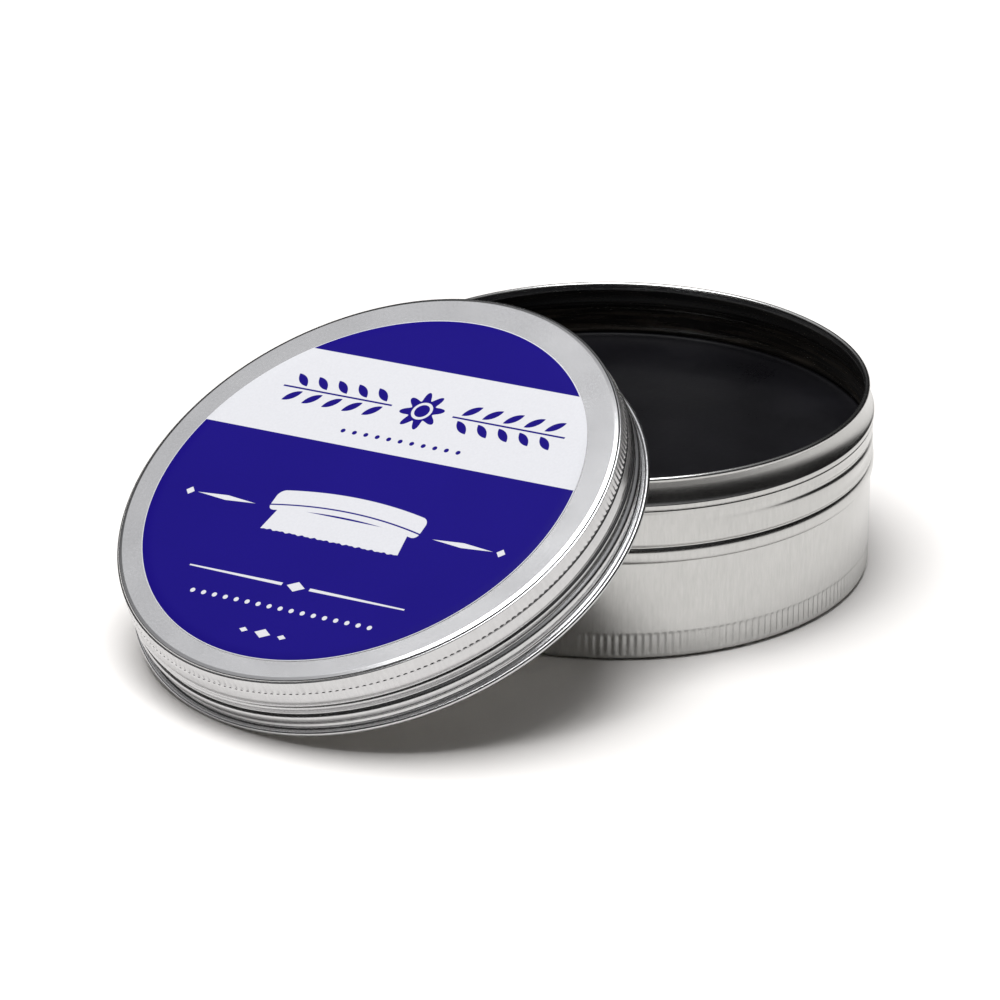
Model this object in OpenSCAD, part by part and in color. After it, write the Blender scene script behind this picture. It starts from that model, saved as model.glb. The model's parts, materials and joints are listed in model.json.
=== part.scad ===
// Round screw-top tin of wax shoe polish, standing open.
// The lid is off and leans on the tin: its low edge is on the table, its hem lies over the rim.
// Millimetres. Origin at the centre of the flat base, +Z up the axis of the tin.

/* [Tin] */
// Outer radius of the straight wall
tin_r = 41; // [36:0.1:48]
// Height from the table to the top of the rim
tin_h = 30.4; // [28:0.1:40]
// Thickness of the aluminium sheet, tin and lid
sheet = 0.3; // [0.25:0.01:0.4]
// Radius of the corner at the foot
foot_r = 1.2; // [0.8:0.1:2]
// Radius of the rolled curl on the rim
rim_curl_r = 0.6; // [0.5:0.01:0.65]

/* [Polish] */
// Height of the wax surface above the table
polish_level = 21; // [12:0.1:24]

/* [Lid] */
// How much wider the lid's hem is than the tin's wall, on the radius
lid_over = 1.1; // [1.1:0.05:1.5]
// Height of the lid, top plane to the end of the hem
lid_h = 10.9; // [10.9:0.1:12]
// Radius of the rolled curl on the hem
hem_curl_r = 0.35; // [0.33:0.01:0.4]
// Thickness of the foam disc inside the lid
liner_t = 0.7; // [0.5:0.1:1]
// Radius of the paper label
label_r = 36; // [25:0.1:37]
// Thickness of the paper label
label_t = 0.1; // [0.08:0.01:0.15]

/* [Pose at rest] */
// Tilt of the lid from level, in degrees
lean_tilt = 26.5; // [26.5:0.1:28]
// Direction in which the lid leans away, in degrees from +X
lean_az = 225; // [0:1:359]
// Distance of the lid's top centre from the tin's axis, less the tin's radius
lean_gap = 13; // [13:0.1:14]

/* [Hidden] */
$fn = 180;

arc_steps = 6;
liner_play = 0.15; // the foam disc lies loose under the lid's top
liner_r = tin_r - 0.9; // inside the lid's corner, over the top of the rim
lid_r = tin_r + lid_over;

// Heights on the neck, measured down from the rim
throat_drop = 1.3;
neck_drop = 2.1;
shoulder_drop = 3.1;
shelf_drop = 3.95;
ridge_drop = 4.25;
ridge_end_drop = 5.15;
waist_drop = 8.2;
band_drop = 10.7;
groove_drop = 11.3;
bead_top_drop = 11.9;
bead_low_drop = 13.2;
bead_end_drop = 13.9;

// Radii on the neck
rim_r = tin_r - 0.4;
throat_r = tin_r - 0.78;
neck_r = tin_r - 0.68;
shoulder_r = tin_r - 0.35;
shelf_r = tin_r + 0.1;
ridge_r = tin_r + 0.35;
waist_r = tin_r + 0.05;
groove_r = tin_r + 0.1;
bead_r = tin_r + 0.45;

// Depths on the skirt of the lid, measured down from its top
grip_top_depth = 1.5;
grip_low_depth = 2.7;
collar_depth = 4.8;
crease_depth = 5.05;
lip_depth = 5.6;
channel_depth = 6.6;
roll_top_depth = 7.4;
roll_low_depth = 8.6;
line_depth = 9.1;
line_end_depth = 9.5;
nip_depth = 10;

// Radii on the skirt of the lid
skirt_r = lid_r - 1.1;
corner_r = 1.2;
grip_low_r = skirt_r + 0.1;
collar_r = skirt_r + 0.25;
crease_r = skirt_r - 0.05;
lip_r = skirt_r + 0.35;
roll_r = skirt_r + 0.5;
line_r = skirt_r + 0.05;
line_end_r = skirt_r + 0.15;

// Quarter turn from straight down to straight out, about the corner's centre
function foot_arc(r, z, radius) = [
    for (i = [0 : arc_steps]) let (a = -90 + 90 * i / arc_steps) [r + radius * cos(a), z + radius * sin(a)]
];

// Quarter turn from straight up to straight out, at the edge of the lid's top
function top_arc(r, z, radius) = [
    for (i = [0 : arc_steps]) let (a = 90 - 90 * i / arc_steps) [r + radius * cos(a), z + radius * sin(a)]
];

// The wall above the foot, bottom to top, as the outer face or a face "inset" further in
function tin_wall(inset) = [
    [tin_r - inset, tin_h - bead_end_drop],
    [bead_r - inset, tin_h - bead_low_drop],
    [bead_r - inset, tin_h - bead_top_drop],
    [groove_r - inset, tin_h - groove_drop],
    [ridge_r - inset, tin_h - band_drop],
    [waist_r - inset, tin_h - waist_drop],
    [ridge_r - inset, tin_h - ridge_end_drop],
    [ridge_r - inset, tin_h - ridge_drop],
    [shelf_r - inset, tin_h - shelf_drop],
    [shoulder_r - inset, tin_h - shoulder_drop],
    [neck_r - inset, tin_h - neck_drop],
    [throat_r - inset, tin_h - throat_drop],
    [rim_r - rim_curl_r - inset, tin_h - rim_curl_r],
];

function tin_inside() = concat(
    [[0, sheet]],
    foot_arc(tin_r - foot_r, foot_r, foot_r - sheet),
    tin_wall(sheet)
);

function reversed(list) = [for (i = [len(list) - 1 : -1 : 0]) list[i]];

// The skirt of the lid, top to bottom, below its top plane at z = 0
function lid_skirt(inset) = [
    [skirt_r - inset, -grip_top_depth],
    [grip_low_r - inset, -grip_low_depth],
    [collar_r - inset, -collar_depth],
    [crease_r - inset, -crease_depth],
    [lip_r - inset, -lip_depth],
    [skirt_r - inset, -channel_depth],
    [roll_r - inset, -roll_top_depth],
    [roll_r - inset, -roll_low_depth],
    [line_r - inset, -line_depth],
    [line_end_r - inset, -line_end_depth],
    [skirt_r - inset, -nip_depth],
    [lid_r - hem_curl_r - inset, -lid_h + hem_curl_r],
];

// Height of the lid's top centre when the low edge of the hem stands on the table
lean_z = (lid_h - hem_curl_r) * cos(lean_tilt) + (lid_r - hem_curl_r) * sin(lean_tilt) + hem_curl_r;

// Puts a shape drawn round the lid's own axis, top plane at z = 0, where the lid leans
module leaning() {
    rotate([0, 0, lean_az])
        translate([tin_r + lean_gap, 0, lean_z])
            rotate([0, lean_tilt, 0])
                children();
}

// A wire-like curl: the sheet's edge rolled into a ring
module curl(r, z, curl_r) {
    rotate_extrude() translate([r - curl_r, z]) circle(r = curl_r);
}

// One drawn can: foot, wall, bead, thread neck and rolled rim
module tin_body() {
    color("silver") union() {
        rotate_extrude() polygon(concat(
            [[0, 0]],
            foot_arc(tin_r - foot_r, foot_r, foot_r),
            tin_wall(0),
            reversed(tin_inside())
        ));
        curl(rim_r, tin_h - rim_curl_r, rim_curl_r);
    }
}

// Wax cast into the tin, touching its floor and wall
module polish() {
    color([0.06, 0.06, 0.08]) rotate_extrude() intersection() {
        polygon(concat(tin_inside(), [[0, tin_h - rim_curl_r]]));
        square([tin_r, polish_level]);
    }
}

// One pressed lid: flat top, knurled grip, thread grooves and rolled hem
module lid_shell() {
    color("silver") leaning() union() {
        rotate_extrude() polygon(concat(
            [[0, 0]],
            top_arc(skirt_r - corner_r, -corner_r, corner_r),
            lid_skirt(0),
            reversed(lid_skirt(sheet)),
            reversed(top_arc(skirt_r - corner_r, -corner_r, corner_r - sheet)),
            [[0, -sheet]]
        ));
        curl(lid_r, -lid_h + hem_curl_r, hem_curl_r);
    }
}

// Foam disc that seals against the rim, loose in the lid
module lid_liner() {
    color("white") leaning()
        translate([0, 0, -sheet - liner_play - liner_t]) cylinder(r = liner_r, h = liner_t);
}

// Round paper label glued to the top of the lid
module lid_label() {
    color("mediumblue") leaning() cylinder(r = label_r, h = label_t);
}

tin_body();
polish();
lid_shell();
lid_liner();
lid_label();
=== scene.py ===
"""A round screw-top shoe polish tin, open, with its lid leaning on the rim."""

import json
import math

import bmesh
import bpy
import numpy as np
from mathutils import Matrix, Vector


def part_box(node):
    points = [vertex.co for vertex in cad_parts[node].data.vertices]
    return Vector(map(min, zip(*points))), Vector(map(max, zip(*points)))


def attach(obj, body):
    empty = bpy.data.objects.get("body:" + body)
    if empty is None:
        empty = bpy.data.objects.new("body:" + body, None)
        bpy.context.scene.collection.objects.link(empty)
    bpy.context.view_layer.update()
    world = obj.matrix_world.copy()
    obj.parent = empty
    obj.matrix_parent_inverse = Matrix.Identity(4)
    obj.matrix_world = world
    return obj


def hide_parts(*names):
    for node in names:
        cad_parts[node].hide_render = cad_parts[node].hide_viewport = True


MM = 0.001
SHEET = 0.3
BEAD_OUT = 0.45  # how far the bead stands out of the wall
LABEL_TURN = 10.87  # degrees that the label's band is turned from level


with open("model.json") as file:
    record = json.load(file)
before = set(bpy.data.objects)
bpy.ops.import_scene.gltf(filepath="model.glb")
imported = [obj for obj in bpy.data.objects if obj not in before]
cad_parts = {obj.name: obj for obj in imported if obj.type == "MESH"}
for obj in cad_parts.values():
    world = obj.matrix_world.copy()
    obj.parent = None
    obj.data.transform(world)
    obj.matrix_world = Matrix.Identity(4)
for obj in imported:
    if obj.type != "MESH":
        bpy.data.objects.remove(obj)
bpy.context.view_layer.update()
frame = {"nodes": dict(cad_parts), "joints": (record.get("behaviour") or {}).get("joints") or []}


# ---------------------------------------------------------------- measures, in millimetres

def lid_axes():
    """Centre of the lid's top, in metres, and the lid's own directions, from the turning joint."""
    joint = next(j for j in frame["joints"] if j["name"] == "lid_turn")
    centre = Vector(joint["pos_m"])
    normal = Vector(joint["axis"]).normalized()
    level = Vector((0, 0, 1)).cross(normal).normalized()
    reading = Matrix.Rotation(math.radians(LABEL_TURN), 3, normal) @ level
    return centre, reading, normal.cross(reading), normal


TIN_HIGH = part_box("tin_body")[1]
TIN_H = TIN_HIGH.z / MM
BEAD_R = TIN_HIGH.x / MM
WALL_R = BEAD_R - BEAD_OUT
WAX_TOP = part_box("polish")[1].z / MM

lid_centre, lid_x, lid_y, lid_n = lid_axes()


def lid_size():
    """The lid's outer radius and height, measured on the CAD lid about its own axis."""
    points = np.array([v.co for v in frame["nodes"]["lid_shell"].data.vertices]) - np.array(lid_centre)
    depth = points @ np.array(lid_n)
    radius = np.linalg.norm(points - np.outer(depth, np.array(lid_n)), axis=1)
    return radius.max() / MM, -depth.min() / MM


LID_R, LID_H = lid_size()


# ---------------------------------------------------------------- outlines and turned shells

def arc(r, z, radius, start, end, steps):
    """Points of an arc about (r, z), from one angle to another in degrees."""
    angles = np.radians(np.linspace(start, end, steps + 1))
    return [(r + radius * math.cos(a), z + radius * math.sin(a)) for a in angles]


EDGE_HOLD = 0.06  # distance from a rounding to the extra point that holds the side beside it flat
MOST_CUT = 0.48  # the most of a side's length that one rounding takes


def rounded(corners, steps=4):
    """An outline through corners (r, z, how far back the corner is rounded)."""
    points = []
    last = len(corners) - 1
    for i, (r, z, cut) in enumerate(corners):
        here = np.array((r, z), float)
        if i in (0, last) or cut == 0:
            points.append(tuple(here))
            continue
        before = np.array(corners[i - 1][:2], float) - here
        after = np.array(corners[i + 1][:2], float) - here
        len_before, len_after = np.linalg.norm(before), np.linalg.norm(after)
        reach = min(cut, MOST_CUT * len_before, MOST_CUT * len_after)
        first = here + before / len_before * reach
        final = here + after / len_after * reach
        if len_before - reach > 4 * EDGE_HOLD:
            points.append(tuple(first + before / len_before * EDGE_HOLD))
        for t in np.linspace(0, 1, steps + 1):
            points.append(tuple((1 - t) ** 2 * first + 2 * t * (1 - t) * here + t ** 2 * final))
        if len_after - reach > 4 * EDGE_HOLD:
            points.append(tuple(final + after / len_after * EDGE_HOLD))
    return points


def spaced(points, step):
    """The same outline with extra points, so that no gap is longer than step."""
    out = [points[0]]
    for a, b in zip(points, points[1:]):
        count = max(1, math.ceil(math.dist(a, b) / step))
        for k in range(1, count + 1):
            out.append((a[0] + (b[0] - a[0]) * k / count, a[1] + (b[1] - a[1]) * k / count))
    return out


def ring(r, z, columns, wobble):
    """One ring of vertices. A ring of radius 0 is a single point."""
    if r == 0:
        return np.array([(0.0, 0.0, z)])
    angle = np.arange(columns) * 2 * math.pi / columns
    radius = r + wobble(angle, r, z)
    return np.stack([radius * np.cos(angle), radius * np.sin(angle), np.full(columns, float(z))], axis=1)


def stitch(a, b, n, m):
    """Faces between a ring of n vertices that starts at a and one of m vertices that starts at b."""
    if n == 1:
        return [(a, b + (k + 1) % m, b + k) for k in range(m)]
    if m == 1:
        return [(a + k, a + (k + 1) % n, b) for k in range(n)]
    faces = []
    few = min(n, m)
    for k in range(few):
        low = [a + (k * n // few + i) % n for i in range(n // few + 1)]
        high = [b + (k * m // few + i) % m for i in range(m // few + 1)]
        faces.append(tuple(low + high[::-1]))
    return faces


def flat_wobble(angle, r, z):
    """No change to the radius."""
    return np.zeros_like(angle)


def turned(name, rows, materials, wobble=flat_wobble, place=None):
    """A closed shell turned about its axis, from rows (r, z, columns, material number) in millimetres."""
    rings = [ring(r, z, columns, wobble) for r, z, columns, _ in rows]
    starts = np.concatenate([[0], np.cumsum([len(points) for points in rings])]).astype(int)
    faces, numbers = [], []
    for i in range(len(rows) - 1):
        made = stitch(starts[i], starts[i + 1], len(rings[i]), len(rings[i + 1]))
        faces += made
        numbers += [rows[i + 1][3]] * len(made)
    mesh = bpy.data.meshes.new(name)
    points = np.concatenate(rings) * MM
    if place is not None:
        points = points @ np.array(place.to_3x3()).T + np.array(place.translation)
    mesh.from_pydata(points.tolist(), [], faces)
    mesh.polygons.foreach_set("material_index", numbers)
    for material in materials:
        mesh.materials.append(material)
    face_outward(mesh)
    mesh.polygons.foreach_set("use_smooth", [True] * len(mesh.polygons))
    shell = bpy.data.objects.new(name, mesh)
    bpy.context.scene.collection.objects.link(shell)
    return shell


def face_outward(mesh):
    """Turns every face of a closed mesh outward."""
    work = bmesh.new()
    work.from_mesh(mesh)
    bmesh.ops.recalc_face_normals(work, faces=work.faces)
    work.to_mesh(mesh)
    work.free()


MIDDLE_R, CENTRE_R = 12, 3  # radii inside which a ring needs fewer columns


def columns_at(r, columns):
    """The number of columns of a ring of radius r."""
    if r > MIDDLE_R:
        return columns
    return columns // 4 if r > CENTRE_R else columns // 20


def rows_of(points, columns, number):
    """Rows for turned() from outline points."""
    return [(r, z, columns_at(r, columns), number) for r, z in points]


def disc(radii, z):
    """Outline points of a flat face at height z."""
    return [(r, z) for r in radii]


def smooth(value):
    """Eases 0..1 in and out, and holds outside it."""
    value = np.clip(value, 0.0, 1.0)
    return value * value * (3 - 2 * value)


# ---------------------------------------------------------------- node helpers

class Field:
    """A number that varies over a surface, made with Math nodes."""

    def __init__(self, tree, socket):
        self.tree = tree
        self.socket = socket

    def apply(self, operation, *others):
        node = self.tree.nodes.new("ShaderNodeMath")
        node.operation = operation
        self.tree.links.new(self.socket, node.inputs[0])
        for place, other in enumerate(others, 1):
            if isinstance(other, Field):
                self.tree.links.new(other.socket, node.inputs[place])
            else:
                node.inputs[place].default_value = other
        return Field(self.tree, node.outputs[0])

    def __add__(self, other):
        return self.apply("ADD", other)

    def __sub__(self, other):
        return self.apply("SUBTRACT", other)

    def __mul__(self, other):
        return self.apply("MULTIPLY", other)

    def __truediv__(self, other):
        return self.apply("DIVIDE", other)

    def __abs__(self):
        return self.apply("ABSOLUTE")

    def least(self, other):
        return self.apply("MINIMUM", other)

    def most(self, other):
        return self.apply("MAXIMUM", other)

    def wrap(self, size):
        return self.apply("FLOORED_MODULO", size)

    def sine(self):
        return self.apply("SINE")

    def length(self, other):
        return (self * self + other * other).apply("SQRT")

    def angle(self, other):
        return self.apply("ARCTAN2", other)


def new_material(name):
    """An empty node material with its Principled shader."""
    material = bpy.data.materials.new(name)
    material.use_nodes = True
    return material, material.node_tree, material.node_tree.nodes["Principled BSDF"]


def object_axes(tree, leaning=False):
    """The piece's own x, y and z over the surface, in millimetres, or the leaning lid's."""
    place = tree.nodes.new("ShaderNodeTexCoord")
    socket = place.outputs["Object"]
    if leaning:
        back = lid_place().inverted()
        turn = tree.nodes.new("ShaderNodeMapping")
        turn.inputs["Location"].default_value = back.translation
        turn.inputs["Rotation"].default_value = back.to_euler()
        tree.links.new(socket, turn.inputs["Vector"])
        socket = turn.outputs[0]
    split = tree.nodes.new("ShaderNodeSeparateXYZ")
    tree.links.new(socket, split.inputs[0])
    return [Field(tree, socket) / MM for socket in split.outputs]


def noise(tree, scales, detail=2.0, rough=0.5, leaning=False):
    """Noise from 0 to 1, with its own number of cells to the millimetre along each axis."""
    x, y, z = object_axes(tree, leaning)
    joined = tree.nodes.new("ShaderNodeCombineXYZ")
    for socket, axis, scale in zip(joined.inputs, (x, y, z), scales):
        tree.links.new((axis * scale).socket, socket)
    texture = tree.nodes.new("ShaderNodeTexNoise")
    texture.inputs["Scale"].default_value = 1.0
    texture.inputs["Detail"].default_value = detail
    texture.inputs["Roughness"].default_value = rough
    tree.links.new(joined.outputs[0], texture.inputs["Vector"])
    return Field(tree, texture.outputs[0])


def spread(field, low, high, start=0.3, end=0.7):
    """Maps a field's start..end to low..high, and holds outside it."""
    node = field.tree.nodes.new("ShaderNodeMapRange")
    for name, value in (("From Min", start), ("From Max", end), ("To Min", low), ("To Max", high)):
        node.inputs[name].default_value = value
    field.tree.links.new(field.socket, node.inputs["Value"])
    return Field(field.tree, node.outputs[0])


def blend_colours(tree, amount, first, second):
    """The socket of a mix of two colours. Each is a colour or a socket."""
    node = tree.nodes.new("ShaderNodeMix")
    node.data_type = "RGBA"
    tree.links.new(amount.socket, node.inputs["Factor"])
    for socket, colour in ((node.inputs[6], first), (node.inputs[7], second)):
        if isinstance(colour, tuple):
            socket.default_value = (*colour, 1)
        else:
            tree.links.new(colour, socket)
    return node.outputs[2]


def bump(tree, shader, height, depth_mm):
    """Fine relief from a field of heights from 0 to 1."""
    node = tree.nodes.new("ShaderNodeBump")
    node.inputs["Strength"].default_value = 1.0
    node.inputs["Distance"].default_value = depth_mm * MM
    tree.links.new(height.socket, node.inputs["Height"])
    tree.links.new(node.outputs[0], shader.inputs["Normal"])


# ---------------------------------------------------------------- materials

def aluminium(name, dark, light, smoothest, roughest, relief, leaning=False):
    """Satin aluminium sheet: fine drawn grain up the walls, fine speckle on the flat, soft cloudiness."""
    material, tree, shader = new_material(name)
    shader.inputs["Metallic"].default_value = 1.0
    grain = noise(tree, (7.0, 7.0, 0.5), 3.0, 0.6, leaning)
    cloud = noise(tree, (0.09, 0.09, 0.16), 2.0, 0.5, leaning)
    speck = noise(tree, (2.2, 2.2, 0.35), 3.0, 0.65, leaning)
    tone = grain * 0.3 + speck * 0.5 + cloud * 0.2
    tree.links.new(blend_colours(tree, spread(tone, 0.0, 1.0), dark, light), shader.inputs["Base Color"])
    rough = spread(grain * 0.6 + cloud * 0.4, smoothest, roughest)
    tree.links.new(rough.socket, shader.inputs["Roughness"])
    bump(tree, shader, grain * 0.5 + speck * 0.5, relief)
    return material


SHADE_FULL_BELOW, SHADE_ENDS_BELOW = 1.1, 0.7  # depths under the rim where the painted shade is full, and where it ends


def inner_painted_shade():
    """The tin's inner wall: bare metal under the curl, and below it a brown-black painted shade, dark and
    not metallic, for the shade inside the can.
    """
    material, tree, shader = new_material("tin_inner_painted_shade")
    height = object_axes(tree)[2]
    streak = noise(tree, (0.12, 0.12, 1.6), 3.0)
    # Painted shade: below the curl the inner wall turns near black and loses its metal, for the shade
    # inside the can.
    shade_amount = spread(height + streak * 0.5, 1.0, 0.0, TIN_H - SHADE_FULL_BELOW, TIN_H - SHADE_ENDS_BELOW)
    shade_patches = spread(streak, 0, 1, 0.4, 0.75)
    # Dim brownish patches within the painted shade.
    shade_tone = blend_colours(tree, shade_patches, (0.006, 0.0055, 0.005), (0.03, 0.024, 0.018))
    tree.links.new(blend_colours(tree, shade_amount, (0.6, 0.6, 0.585), shade_tone), shader.inputs["Base Color"])
    tree.links.new((shade_amount * -1.0 + 1.0).socket, shader.inputs["Metallic"])
    tree.links.new(spread(streak, 0.2, 0.34).socket, shader.inputs["Roughness"])
    shader.inputs["Specular IOR Level"].default_value = 0.4
    bump(tree, shader, streak, 0.006)
    return material


def wax_material():
    """Black wax paste, poured smooth, with a faint sheen and a few soft swirls."""
    material, tree, shader = new_material("wax_black")
    cloud = noise(tree, (0.06, 0.06, 0.1), 3.0)
    fine = noise(tree, (1.6, 1.6, 1.6), 3.0)
    tree.links.new(
        blend_colours(tree, spread(cloud, 0, 1), (0.0015, 0.0014, 0.0023), (0.0032, 0.003, 0.0048)),
        shader.inputs["Base Color"],
    )
    tree.links.new(spread(cloud * 0.6 + fine * 0.4, 0.26, 0.38).socket, shader.inputs["Roughness"])
    shader.inputs["Specular IOR Level"].default_value = 0.45
    bump(tree, shader, fine * 0.35 + cloud, 0.02)
    return material


FOAM_CELLS = 2600.0  # to the metre


def foam_material():
    """White closed-cell foam sheet."""
    material, tree, shader = new_material("foam_white")
    cells = tree.nodes.new("ShaderNodeTexVoronoi")
    place = tree.nodes.new("ShaderNodeTexCoord")
    tree.links.new(place.outputs["Object"], cells.inputs["Vector"])
    cells.inputs["Scale"].default_value = FOAM_CELLS
    height = Field(tree, cells.outputs["Distance"])
    tree.links.new(
        blend_colours(tree, height, (0.83, 0.83, 0.81), (0.74, 0.74, 0.72)),
        shader.inputs["Base Color"],
    )
    cloud = noise(tree, (0.2, 0.2, 0.2))
    tree.links.new(spread(cloud, 0.55, 0.75).socket, shader.inputs["Roughness"])
    bump(tree, shader, height, 0.03)
    return material


INK_DARK, INK_BLUE = (0.0075, 0.0030, 0.165), (0.0095, 0.0038, 0.185)
PAPER_SHADE, PAPER_WHITE = (0.64, 0.64, 0.665), (0.675, 0.675, 0.70)
LABEL_R, LABEL_T = 36.0, 0.1
LABEL_OFF = (-0.18, -0.71)  # where the paper's centre lies, from the lid's
PRINT_OFF = (0.7, -0.6)  # where the print's centre lies, from the lid's
CUT_EDGE = 0.16  # width of the white paper's edge
BAND_Y, BAND_HALF = 16.05, 9.05  # middle and half height of the white band
SPRAY_Y = 16.6
LEAF_TILT = 40  # degrees
LEAF_OFF = 1.75  # from the stem to a leaf's middle
LEAF_ARC, LEAF_BACK = 2.78, 2.1  # a leaf lies between two arcs of this radius, set this far apart
DOT_R = 0.42
LOZENGES = (  # x and y of the middle, half width and half height
    (22.5, -7.4, 5.6, 0.5),
    (29.6, -7.4, 0.8, 0.8),
    (0.0, -21.4, 1.7, 1.0),
    (0.0, -31.2, 1.5, 0.9),
    (3.6, -31.2, 0.8, 0.5),
)


def printed(inside):
    """1 where a shape's distance is below zero, with a crisp edge."""
    return spread(inside, 1.0, 0.0, -0.03, 0.03)


def leaf_row(x, y, start, pitch, count, middle):
    """Pairs of leaves leaning outward along a stem, on both sides of the middle."""
    along, off = abs(x), abs(y - middle)
    step = (along - start).wrap(pitch) - pitch / 2
    turn = math.radians(LEAF_TILT)
    u = step * math.cos(turn) + (off - LEAF_OFF) * math.sin(turn)
    v = (off - LEAF_OFF) * math.cos(turn) - step * math.sin(turn)
    leaf = u.length(abs(v) + LEAF_BACK) - LEAF_ARC
    half = pitch * count / 2
    from_middle = abs(along - (start + half))
    stem = (off - 0.17).most(from_middle - (half + 0.8))
    return leaf.most(from_middle - half).least(stem)


def rosette(x, y, middle):
    """A flower of eight petals with a ring in it."""
    off = y - middle
    radius = x.length(off)
    petals = radius - ((off.angle(x) * 8.0).sine() * 0.85 + 3.1)
    gap = abs(radius - 1.55) * -1.0 + 0.25
    return petals.most(gap)


def dot_row(x, y, middle, pitch, reach, radius):
    """A row of dots."""
    step = (x + pitch / 2).wrap(pitch) - pitch / 2
    return (step.length(y - middle) - radius).most(abs(x) - reach)


def brush(x, y):
    """A shoe brush seen from the side: a handle with a groove over a block of bristles."""
    arched = y + (x * x) * 0.007 + 4.6
    handle = (abs(x) - 13.0).most(0.0).length((abs(arched) - 0.9).most(0.0)) - 1.2
    groove = abs(arched + 0.95) * -1.0 + 0.14
    drop = (y + 6.6) * -1.0
    fringe = ((x * 5.2).sine() + (x * 2.9).sine()) * 0.07
    tuft = (abs(x) - 12.2 - drop * 0.16).most(abs(y + 9.4 + fringe * 0.5) - 2.35 - fringe * 0.5)
    return handle.most(groove).least(tuft)


def lozenge(x, y, middle_x, middle_y, half_x, half_y):
    """A lozenge and its mirror image."""
    return abs(abs(x) - middle_x) / half_x + abs(y - middle_y) / half_y - 1.0


def rule(x, y, middle, start, reach):
    """A thin line on both sides of the middle, tapering outward."""
    along = abs(x)
    shade_tone = abs(y - middle) - 0.3 + along * 0.008
    return shade_tone.most(abs(along - (start + reach) / 2) - (reach - start) / 2)


def band_marks(x, y):
    """The blue ornaments on the white band: leaf sprays, a rosette and dots."""
    marks = leaf_row(x, y, 6.6, 3.9, 5, SPRAY_Y).least(rosette(x, y, SPRAY_Y))
    return marks.least(dot_row(x, y, 9.9, 2.2, 12.0, DOT_R))


def field_marks(x, y):
    """The white ornaments on the blue: a brush, a rule, dots and lozenges."""
    marks = brush(x, y)
    for middle_x, middle_y, half_x, half_y in LOZENGES:
        marks = marks.least(lozenge(x, y, middle_x, middle_y, half_x, half_y))
    return marks.least(rule(x, y, -21.4, 2.6, 20.4)).least(dot_row(x, y, -26.0, 2.1, 17.5, DOT_R))


def bare_paper(tree):
    """1 where the paper is left white, and 0 where it is printed blue."""
    x, y, z = object_axes(tree, leaning=True)
    edge = (x - LABEL_OFF[0]).length(y - LABEL_OFF[1]) * -1.0 + (LABEL_R - CUT_EDGE)
    x, y = x - PRINT_OFF[0], y - PRINT_OFF[1]
    band = abs(y - BAND_Y) - BAND_HALF
    white = band.least(edge).least(z - LABEL_T / 2).least(field_marks(x, y))
    return printed(white) * (printed(band_marks(x, y)) * -1.0 + 1.0)


def label_material():
    """Printed paper: deep blue with a white band, generic ornaments and a white cut edge."""
    material, tree, shader = new_material("label_print")
    bare = bare_paper(tree)
    fibre = noise(tree, (2.4, 2.4, 2.4), 3.0, 0.6)
    cloud = noise(tree, (0.05, 0.05, 0.05))
    ink = blend_colours(tree, spread(fibre * 0.5 + cloud * 0.5, 0, 1), INK_DARK, INK_BLUE)
    paper = blend_colours(tree, spread(fibre, 0, 1), PAPER_SHADE, PAPER_WHITE)
    tree.links.new(blend_colours(tree, bare, ink, paper), shader.inputs["Base Color"])
    tree.links.new(spread(fibre, 0.5, 0.6).socket, shader.inputs["Roughness"])
    shader.inputs["Specular IOR Level"].default_value = 0.04
    bump(tree, shader, fibre, 0.006)
    return material


def floor_material():
    """Plain pale floor."""
    material, _, shader = new_material("studio_floor")
    shader.inputs["Base Color"].default_value = (0.93, 0.905, 0.88, 1)
    shader.inputs["Roughness"].default_value = 0.9
    shader.inputs["Specular IOR Level"].default_value = 0.0
    return material


# ---------------------------------------------------------------- the tin

COARSE = 440
FLUTES = 220
FLUTE_COLUMNS = FLUTES * 6
FLUTE_LOW, FLUTE_TOP, FLUTE_DEEP = 0.5, 4.75, 0.2
FLUTE_HEIGHTS = (1.35, 1.5, 2.0, 2.8, 3.6, 4.1, 4.3, 4.45, 4.6, 4.75)
FOOT_R = 1.2
NEAR_WALL = 39  # rings smaller than this aren't part of the wall
RIM_CURL = 0.45
RIM_R = WALL_R - 0.4
BASE_RADII = (0, 2, 8, 20, 30, 37)
INWARD_RADII = (20, 8, 2, 0)  # rings that close a flat face towards the axis

# The thread: its zone up the neck, and its groove and waist at angles in degrees round the tin
THREAD_LOW, THREAD_TOP = 19.3, 24.4
THREAD_FADE = 0.4
GROOVE_HALF, WAIST_HALF = 0.42, 0.75
WAIST_Z = 20.5
THREAD_START = -100
THREAD_AT = (-75, -57, -40, -25, -17, 0, 60, 150, 230, 260)
THREAD_Z = (23.3, 23.2, 23.1, 22.9, 22.75, 22.2, 21.9, 21.4, 20.9, 20.8)
THREAD_DEEP = (0, 0.07, 0.26, 0.38, 0.42, 0.44, 0.42, 0.4, 0.14, 0)
WAIST_DEEP = (0, 0, 0.06, 0.18, 0.28, 0.4, 0.42, 0.4, 0.15, 0)


def flute_wobble(angle, z):
    """The grip flutes pressed in at the foot."""
    deep = smooth((z - FLUTE_LOW) / 0.9) * smooth((FLUTE_TOP - z) / 0.5)
    return -FLUTE_DEEP * deep * (0.5 - 0.5 * np.cos(FLUTES * angle))


def thread_wobble(angle, z):
    """The screw thread's rolled groove and waist, with their tapered ends."""
    degrees = (np.degrees(angle) - THREAD_START) % 360 + THREAD_START
    middle = np.interp(degrees, THREAD_AT, THREAD_Z)
    groove = np.interp(degrees, THREAD_AT, THREAD_DEEP) * np.exp(-(((z - middle) / GROOVE_HALF) ** 2))
    waist = np.interp(degrees, THREAD_AT, WAIST_DEEP) * np.exp(-(((z - WAIST_Z) / WAIST_HALF) ** 2))
    hold = smooth((z - THREAD_LOW) / THREAD_FADE) * smooth((THREAD_TOP - z) / THREAD_FADE)
    return -hold * (groove + waist)


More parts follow.
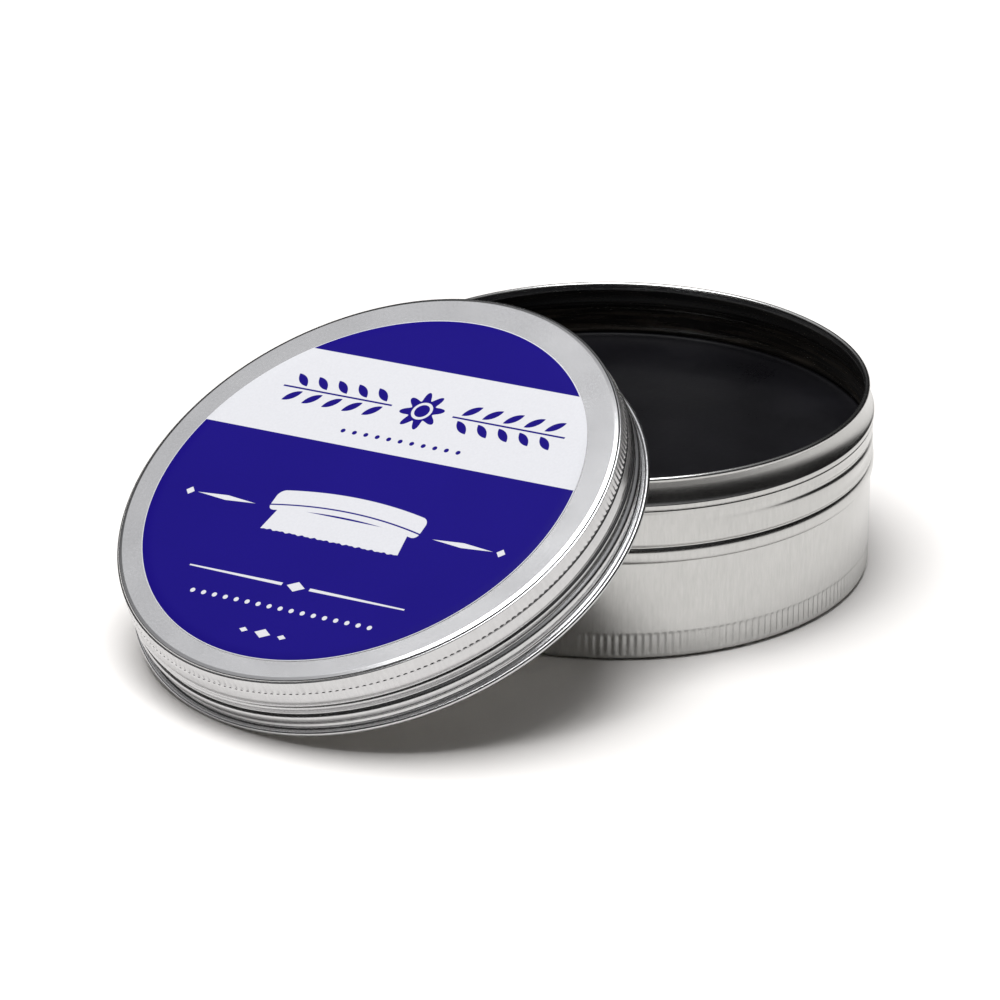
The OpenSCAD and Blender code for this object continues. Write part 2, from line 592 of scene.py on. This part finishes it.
def tin_wobble(angle, r, z):
    """What the can's wall has pressed into it."""
    if r > WALL_R - 0.5 and FLUTE_LOW < z < FLUTE_TOP and len(angle) == FLUTE_COLUMNS:
        return flute_wobble(angle, z)
    if THREAD_LOW < z < THREAD_TOP and r > NEAR_WALL:
        return thread_wobble(angle, z)
    return flat_wobble(angle, r, z)


def neck_corners(inset):
    """The wall above the foot, from the bead up to under the curl."""
    return [
        (WALL_R - inset, 16.45, 0.12),
        (BEAD_R - 0.1 - inset, 16.75, 0.3),
        (BEAD_R - inset, 17.5, 0.5),
        (BEAD_R - 0.03 - inset, 18.5, 0.3),
        (WALL_R + 0.05 - inset, 19.1, 0.12),
        (WALL_R + 0.42 - inset, 19.65, 0.25),
        (WALL_R + 0.16 - inset, 24.0, 0.15),
        (WALL_R + 0.12 - inset, 24.5, 0.15),
        (WALL_R + 0.33 - inset, 25.1, 0.12),
        (WALL_R + 0.17 - inset, 25.3, 0.05),
        (WALL_R + 0.35 - inset, 25.5, 0.12),
        (WALL_R + 0.35 - inset, 26.15, 0.08),
        (WALL_R + 0.1 - inset, 26.45, 0.3),
        (WALL_R - 0.35 - inset, 27.3, 0.6),
        (WALL_R - 0.68 - inset, 28.3, 0.6),
        (WALL_R - 0.84 - inset, 29.0, 0.3),
        (WALL_R - 0.94 - inset, 29.45, 0.1),
    ]


def thread_rows(points, step):
    """Closer rows where the thread is rolled into the wall."""
    out = [points[0]]
    for a, b in zip(points, points[1:]):
        between = THREAD_LOW - 0.1 < (a[1] + b[1]) / 2 < THREAD_TOP
        out += spaced([a, b], step if between else 1.5)[1:]
    return out


def neck_rows_outside():
    """The neck from the top of the wall to the end of the rim's curl."""
    neck = [(WALL_R, 16.0, 0)] + neck_corners(0) + [(WALL_R - 0.95, 29.5, 0)]
    curl = arc(RIM_R - RIM_CURL, TIN_H - RIM_CURL, RIM_CURL, -100, 180, 15)
    return thread_rows(rounded(neck, 2), 0.2) + curl


def neck_rows_inside():
    """The neck from under the rim's curl down to the wall."""
    under_curl = (RIM_R - 2 * RIM_CURL + 0.02, TIN_H - 0.95, 0)
    neck = [(r, z, 0) for r, z, _ in reversed(neck_corners(SHEET)[:-1])]
    return thread_rows(rounded([under_curl] + neck + [(WALL_R - SHEET, 14, 0)]), 0.3)


def tin_rows():
    """Rows of the tin from the middle of the base, up outside, over the curl and down inside."""
    corner = arc(WALL_R - FOOT_R, FOOT_R, FOOT_R, -90, 0, 8)
    flutes = corner[3:] + [(WALL_R, z) for z in FLUTE_HEIGHTS]
    wall = spaced([(WALL_R, 4.8), (WALL_R, 15.5)], 2.7)
    floor = arc(WALL_R - FOOT_R, FOOT_R, FOOT_R - SHEET, 0, -90, 6) + disc(INWARD_RADII, SHEET)
    rows = rows_of(disc(BASE_RADII, 0) + corner[:3], COARSE, 0)
    rows += rows_of(flutes, FLUTE_COLUMNS, 0)
    rows += rows_of(wall + neck_rows_outside(), COARSE, 0)
    rows += rows_of(neck_rows_inside() + floor, COARSE, 1)
    return rows


def make_tin():
    """The can, with a bright outside and painted shade on its inner wall."""
    outside = aluminium("tin_satin", (0.45, 0.45, 0.44), (0.57, 0.57, 0.56), 0.2, 0.27, 0.0015)
    tin = turned("tin_formed", tin_rows(), [outside, inner_painted_shade()], tin_wobble)
    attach(tin, "tin")
    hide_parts("tin_body")


# ---------------------------------------------------------------- the wax

WAX_PRESS = 0.03  # how far the wax reaches into the metal, so that no gap shows
WAX_STEPS = 24
WAX_DIP, WAX_RIPPLE = 0.12, 0.012
WAX_SKIN = WAX_TOP - 0.03  # the surface just inside its turned-up edge


def wax_wobble(angle, r, z):
    """The wax follows the wall that it was poured into."""
    if r > 38:
        return tin_wobble(angle, r, z)
    return flat_wobble(angle, r, z)


def wax_surface(wall):
    """The top of the wax from the wall to the middle: a turned-up edge, then a slight dip."""
    edge = ((-0.1, 0.34), (0.15, 0.18), (0.5, 0.06), (1.0, 0.0), (2.5, -0.03))
    top = [(wall - back, WAX_TOP + rise) for back, rise in edge]
    for k in range(1, WAX_STEPS):
        along = k / WAX_STEPS
        ripple = WAX_RIPPLE * math.sin(k * 1.9)
        top.append(((wall - 2.5) * (1 - along), WAX_SKIN - WAX_DIP * along ** 2 + ripple))
    return top + [(0, WAX_TOP - 0.16)]


def make_wax():
    """The wax, from the middle of its underside to the middle of its surface."""
    wall = WALL_R - SHEET + WAX_PRESS
    corner = arc(WALL_R - FOOT_R, FOOT_R, FOOT_R - SHEET + WAX_PRESS, -90, 0, 6)
    under = disc(INWARD_RADII[::-1], SHEET) + corner
    side = [(wall, 5), (wall, 12), (wall, 16), (wall + 0.1, 18), (wall + 0.2, 20)]
    side = spaced(side + [(wall + 0.25, WAX_TOP + 0.3)], 1.0)
    rows = rows_of(under + side + wax_surface(wall), COARSE, 0)
    wax = turned("wax_poured", rows, [wax_material()], wax_wobble)
    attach(wax, "tin")
    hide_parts("polish")


# ---------------------------------------------------------------- the lid

TEETH = 240
TOOTH_COLUMNS = TEETH * 6
SKIRT_R = LID_R - 1.1
CORNER_R = 1.2
KNURL_TOP, KNURL_END = -0.48, -2.62
KNURL_HEIGHTS = (-0.48, -0.56, -0.64, -0.9, -1.2, -1.5, -1.8, -2.1, -2.3, -2.4, -2.48, -2.54, -2.58, -2.62)
HEM_CURL = 0.42
LID_RADII = (0, 2, 8, 16, 26, 36, 39)


def lid_place():
    """The lid's own frame: x along the label's band, z out of the top."""
    place = Matrix.Identity(4)
    for column, axis in enumerate((lid_x, lid_y, lid_n)):
        for row in range(3):
            place[row][column] = axis[row]
    place.translation = lid_centre
    return place


def lid_wobble(angle, r, z):
    """The knurl: hollows that deepen down the skirt and end in a step."""
    if KNURL_END < z < KNURL_TOP and len(angle) == TOOTH_COLUMNS:
        along = (KNURL_TOP - z) / (KNURL_TOP - KNURL_END)
        deep = (0.02 + 0.17 * along ** 2) * smooth((z - KNURL_END) / 0.14) * smooth((KNURL_TOP - z) / 0.15)
        return -deep * (0.5 - 0.5 * np.cos(TEETH * angle)) ** 0.85
    return flat_wobble(angle, r, z)


def skirt_corners(inset):
    """The skirt below the knurl: collar, crease, thin lip, channel, roll, line and nip above the hem."""
    return [
        (SKIRT_R + 0.08 - inset, -2.75, 0.06),
        (SKIRT_R + 0.24 - inset, -4.3, 0.5),
        (SKIRT_R - 0.04 - inset, -5.05, 0.12),
        (SKIRT_R + 0.36 - inset, -5.5, 0.22),
        (SKIRT_R + 0.08 - inset, -6.3, 0.2),
        (SKIRT_R - 0.16 - inset, -6.92, 0.12),
        (SKIRT_R + 0.38 - inset, -7.32, 0.25),
        (SKIRT_R + 0.5 - inset, -7.7, 0.35),
        (SKIRT_R + 0.42 - inset, -8.3, 0.5),
        (SKIRT_R - 0.02 - inset, -9.12, 0.12),
        (SKIRT_R + 0.17 - inset, -9.52, 0.15),
        (SKIRT_R - 0.08 - inset, -10.0, 0.1),
    ]


def lid_top():
    """The flat top and its edge, down to where the knurl starts."""
    edge = [
        (39.7, 0, 0),
        (SKIRT_R - CORNER_R, 0, 0.12),
        (SKIRT_R - 0.62, -0.19, 0.16),
        (SKIRT_R - 0.5, -0.37, 0.06),
        (SKIRT_R - 0.25, -0.46, 0),
    ]
    return disc(LID_RADII, 0) + rounded(edge, 5)


def lid_inside():
    """The inner face from the hem up to the middle."""
    skirt = skirt_corners(SHEET)[::-1]
    skirt = rounded([(SKIRT_R - 0.02, -LID_H + 0.6, 0)] + skirt + [(SKIRT_R - SHEET, -CORNER_R, 0)])
    corner = arc(SKIRT_R - CORNER_R, -CORNER_R, CORNER_R - SHEET, 0, 90, 6)
    return spaced(skirt, 1.0) + corner + disc((25, 8, 2, 0), -SHEET)


def lid_rows():
    """Rows of the lid from the middle of its top, down outside, round the hem and up inside."""
    teeth = [(SKIRT_R - 0.24 + 0.12 * (KNURL_TOP - z), z) for z in KNURL_HEIGHTS]
    low = rounded([(SKIRT_R + 0.03, -2.66, 0)] + skirt_corners(0) + [(SKIRT_R + 0.25, -LID_H + 0.72, 0)])
    hem = arc(LID_R - HEM_CURL, -LID_H + HEM_CURL, HEM_CURL, 145, -190, 24)
    rows = rows_of(lid_top(), TEETH, 0)
    rows += rows_of(teeth, TOOTH_COLUMNS, 0)
    rows += rows_of(low + hem, TEETH, 0)
    rows += rows_of(lid_inside(), TEETH, 1)
    return rows


def make_lid():
    """The lid, satin outside and lacquered inside."""
    outside = aluminium("lid_satin", (0.51, 0.51, 0.515), (0.63, 0.63, 0.635), 0.2, 0.28, 0.0018, True)
    inside = aluminium("lid_lacquered", (0.58, 0.57, 0.54), (0.65, 0.64, 0.61), 0.16, 0.24, 0.002, True)
    lid = turned("lid_formed", lid_rows(), [outside, inside], lid_wobble, lid_place())
    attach(lid, "lid")
    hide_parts("lid_shell")


def make_label():
    """The paper disc, laid very slightly off the lid's centre, as in the photograph."""
    face = disc((0, 2, 8, 24, 34, LABEL_R - 0.04), LABEL_T)
    edge = [(LABEL_R, LABEL_T - 0.03), (LABEL_R, 0.0)]
    rows = rows_of(face + edge + disc(INWARD_RADII, 0.0), COARSE, 0)
    place = lid_place() @ Matrix.Translation((LABEL_OFF[0] * MM, LABEL_OFF[1] * MM, 0))
    label = turned("label_disc", rows, [label_material()], place=place)
    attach(label, "lid")
    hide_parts("lid_label")


LINER_T = 0.7
LINER_PLAY = 0.15  # between the foam and the lid's top
LINER_PRESS = 0.12  # depth of the ring that the rim has pressed in


def make_liner():
    """The foam seal, with the ring that the tin's rim has pressed into it."""
    reach = WALL_R - 0.9
    top = -SHEET - LINER_PLAY
    low = top - LINER_T
    rim = RIM_R - RIM_CURL
    press = low + LINER_PRESS
    edge = rounded([(38, top, 0), (reach, top, 0.15), (reach, press, 0.1), (38, press, 0)])
    outline = disc((0, 2, 8, 20), top) + edge[1:-1]
    outline += [(rim - 0.3, press), (rim - 0.6, low + 0.06), (rim - 0.9, low + 0.01), (rim - 1.2, low)]
    outline += disc((36, 20, 8, 2, 0), low)
    liner = turned("liner_foam", rows_of(outline, TEETH, 0), [foam_material()], place=lid_place())
    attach(liner, "liner")
    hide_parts("lid_liner")


# ---------------------------------------------------------------- studio

FLOOR_HALF = 2.5
FLOOR_DROP = 0.00002  # in metres, so that the floor and the tin's base don't share a plane
LAMP_WHITE = (0.985, 0.992, 1.0)
TIN_MIDDLE = (0, 0, 0.015)


def make_floor():
    """A wide plain floor that the tin stands on."""
    mesh = bpy.data.meshes.new("studio_floor")
    corners = [(FLOOR_HALF * x, FLOOR_HALF * y, 0) for x, y in ((-1, -1), (1, -1), (1, 1), (-1, 1))]
    mesh.from_pydata(corners, [], [(0, 1, 2, 3)])
    mesh.materials.append(floor_material())
    floor = bpy.data.objects.new("studio_floor", mesh)
    bpy.context.scene.collection.objects.link(floor)
    floor.location.z = -FLOOR_DROP


def soft_light(name, place, size, watts):
    """A square soft light aimed at the tin."""
    lamp = bpy.data.lights.new(name, "AREA")
    lamp.size = size
    lamp.energy = watts
    lamp.color = LAMP_WHITE
    holder = bpy.data.objects.new(name, lamp)
    bpy.context.scene.collection.objects.link(holder)
    holder.location = place
    holder.rotation_euler = (Vector(place) - Vector(TIN_MIDDLE)).to_track_quat("Z", "Y").to_euler()


def make_lights():
    """One soft lamp overhead, and a world that glows more from high up and from the back left."""
    soft_light("overhead", (-0.13, -0.01, 1.15), 0.86, 16.3)
    world = bpy.data.worlds.new("studio_air")
    world.use_nodes = True
    bpy.context.scene.world = world
    tree = world.node_tree
    place = tree.nodes.new("ShaderNodeTexCoord")
    split = tree.nodes.new("ShaderNodeSeparateXYZ")
    tree.links.new(place.outputs["Generated"], split.inputs[0])
    x, y, z = [Field(tree, socket) for socket in split.outputs]
    panel = spread(z + y * 0.35 - x * 0.4, 0.0, 1.0, 0.8, 1.08)
    room = spread(z, 0.0, 0.45, 0.58, 0.95)
    glow = blend_colours(tree, panel.most(room), (0.012, 0.0115, 0.0115), (0.72, 0.72, 0.735))
    tree.links.new(glow, tree.nodes["Background"].inputs["Color"])


CAMERA_AT = (-13.6, -876.0, 397.6)
CAMERA_TURNS = (23.927, -0.283, 0.177)  # pitch down, yaw and roll, in degrees
SENSOR, LENS = 36, 216


def make_camera():
    """The photograph's view: a long lens, looking down by nearly 24 degrees."""
    place = Vector(CAMERA_AT) * MM
    pitch, yaw, roll = (math.radians(turn) for turn in CAMERA_TURNS)
    ahead = Vector((math.sin(yaw) * math.cos(pitch), math.cos(yaw) * math.cos(pitch), -math.sin(pitch)))
    right = Vector((math.cos(yaw), -math.sin(yaw), 0))
    upward = right.cross(ahead)
    rolled_right = right * math.cos(roll) + upward * math.sin(roll)
    rolled_up = upward * math.cos(roll) - right * math.sin(roll)
    lens = bpy.data.cameras.new("photo_camera")
    lens.sensor_width = SENSOR
    lens.lens = LENS
    lens.clip_start = 0.01
    camera = bpy.data.objects.new("photo_camera", lens)
    bpy.context.scene.collection.objects.link(camera)
    turn = Matrix((rolled_right, rolled_up, -ahead)).transposed().to_4x4()
    camera.matrix_world = Matrix.Translation(place) @ turn
    bpy.context.scene.camera = camera


make_tin()
make_wax()
make_lid()
make_label()
make_liner()
make_floor()
make_lights()
make_camera()
bpy.context.scene.view_settings.view_transform = "Standard"
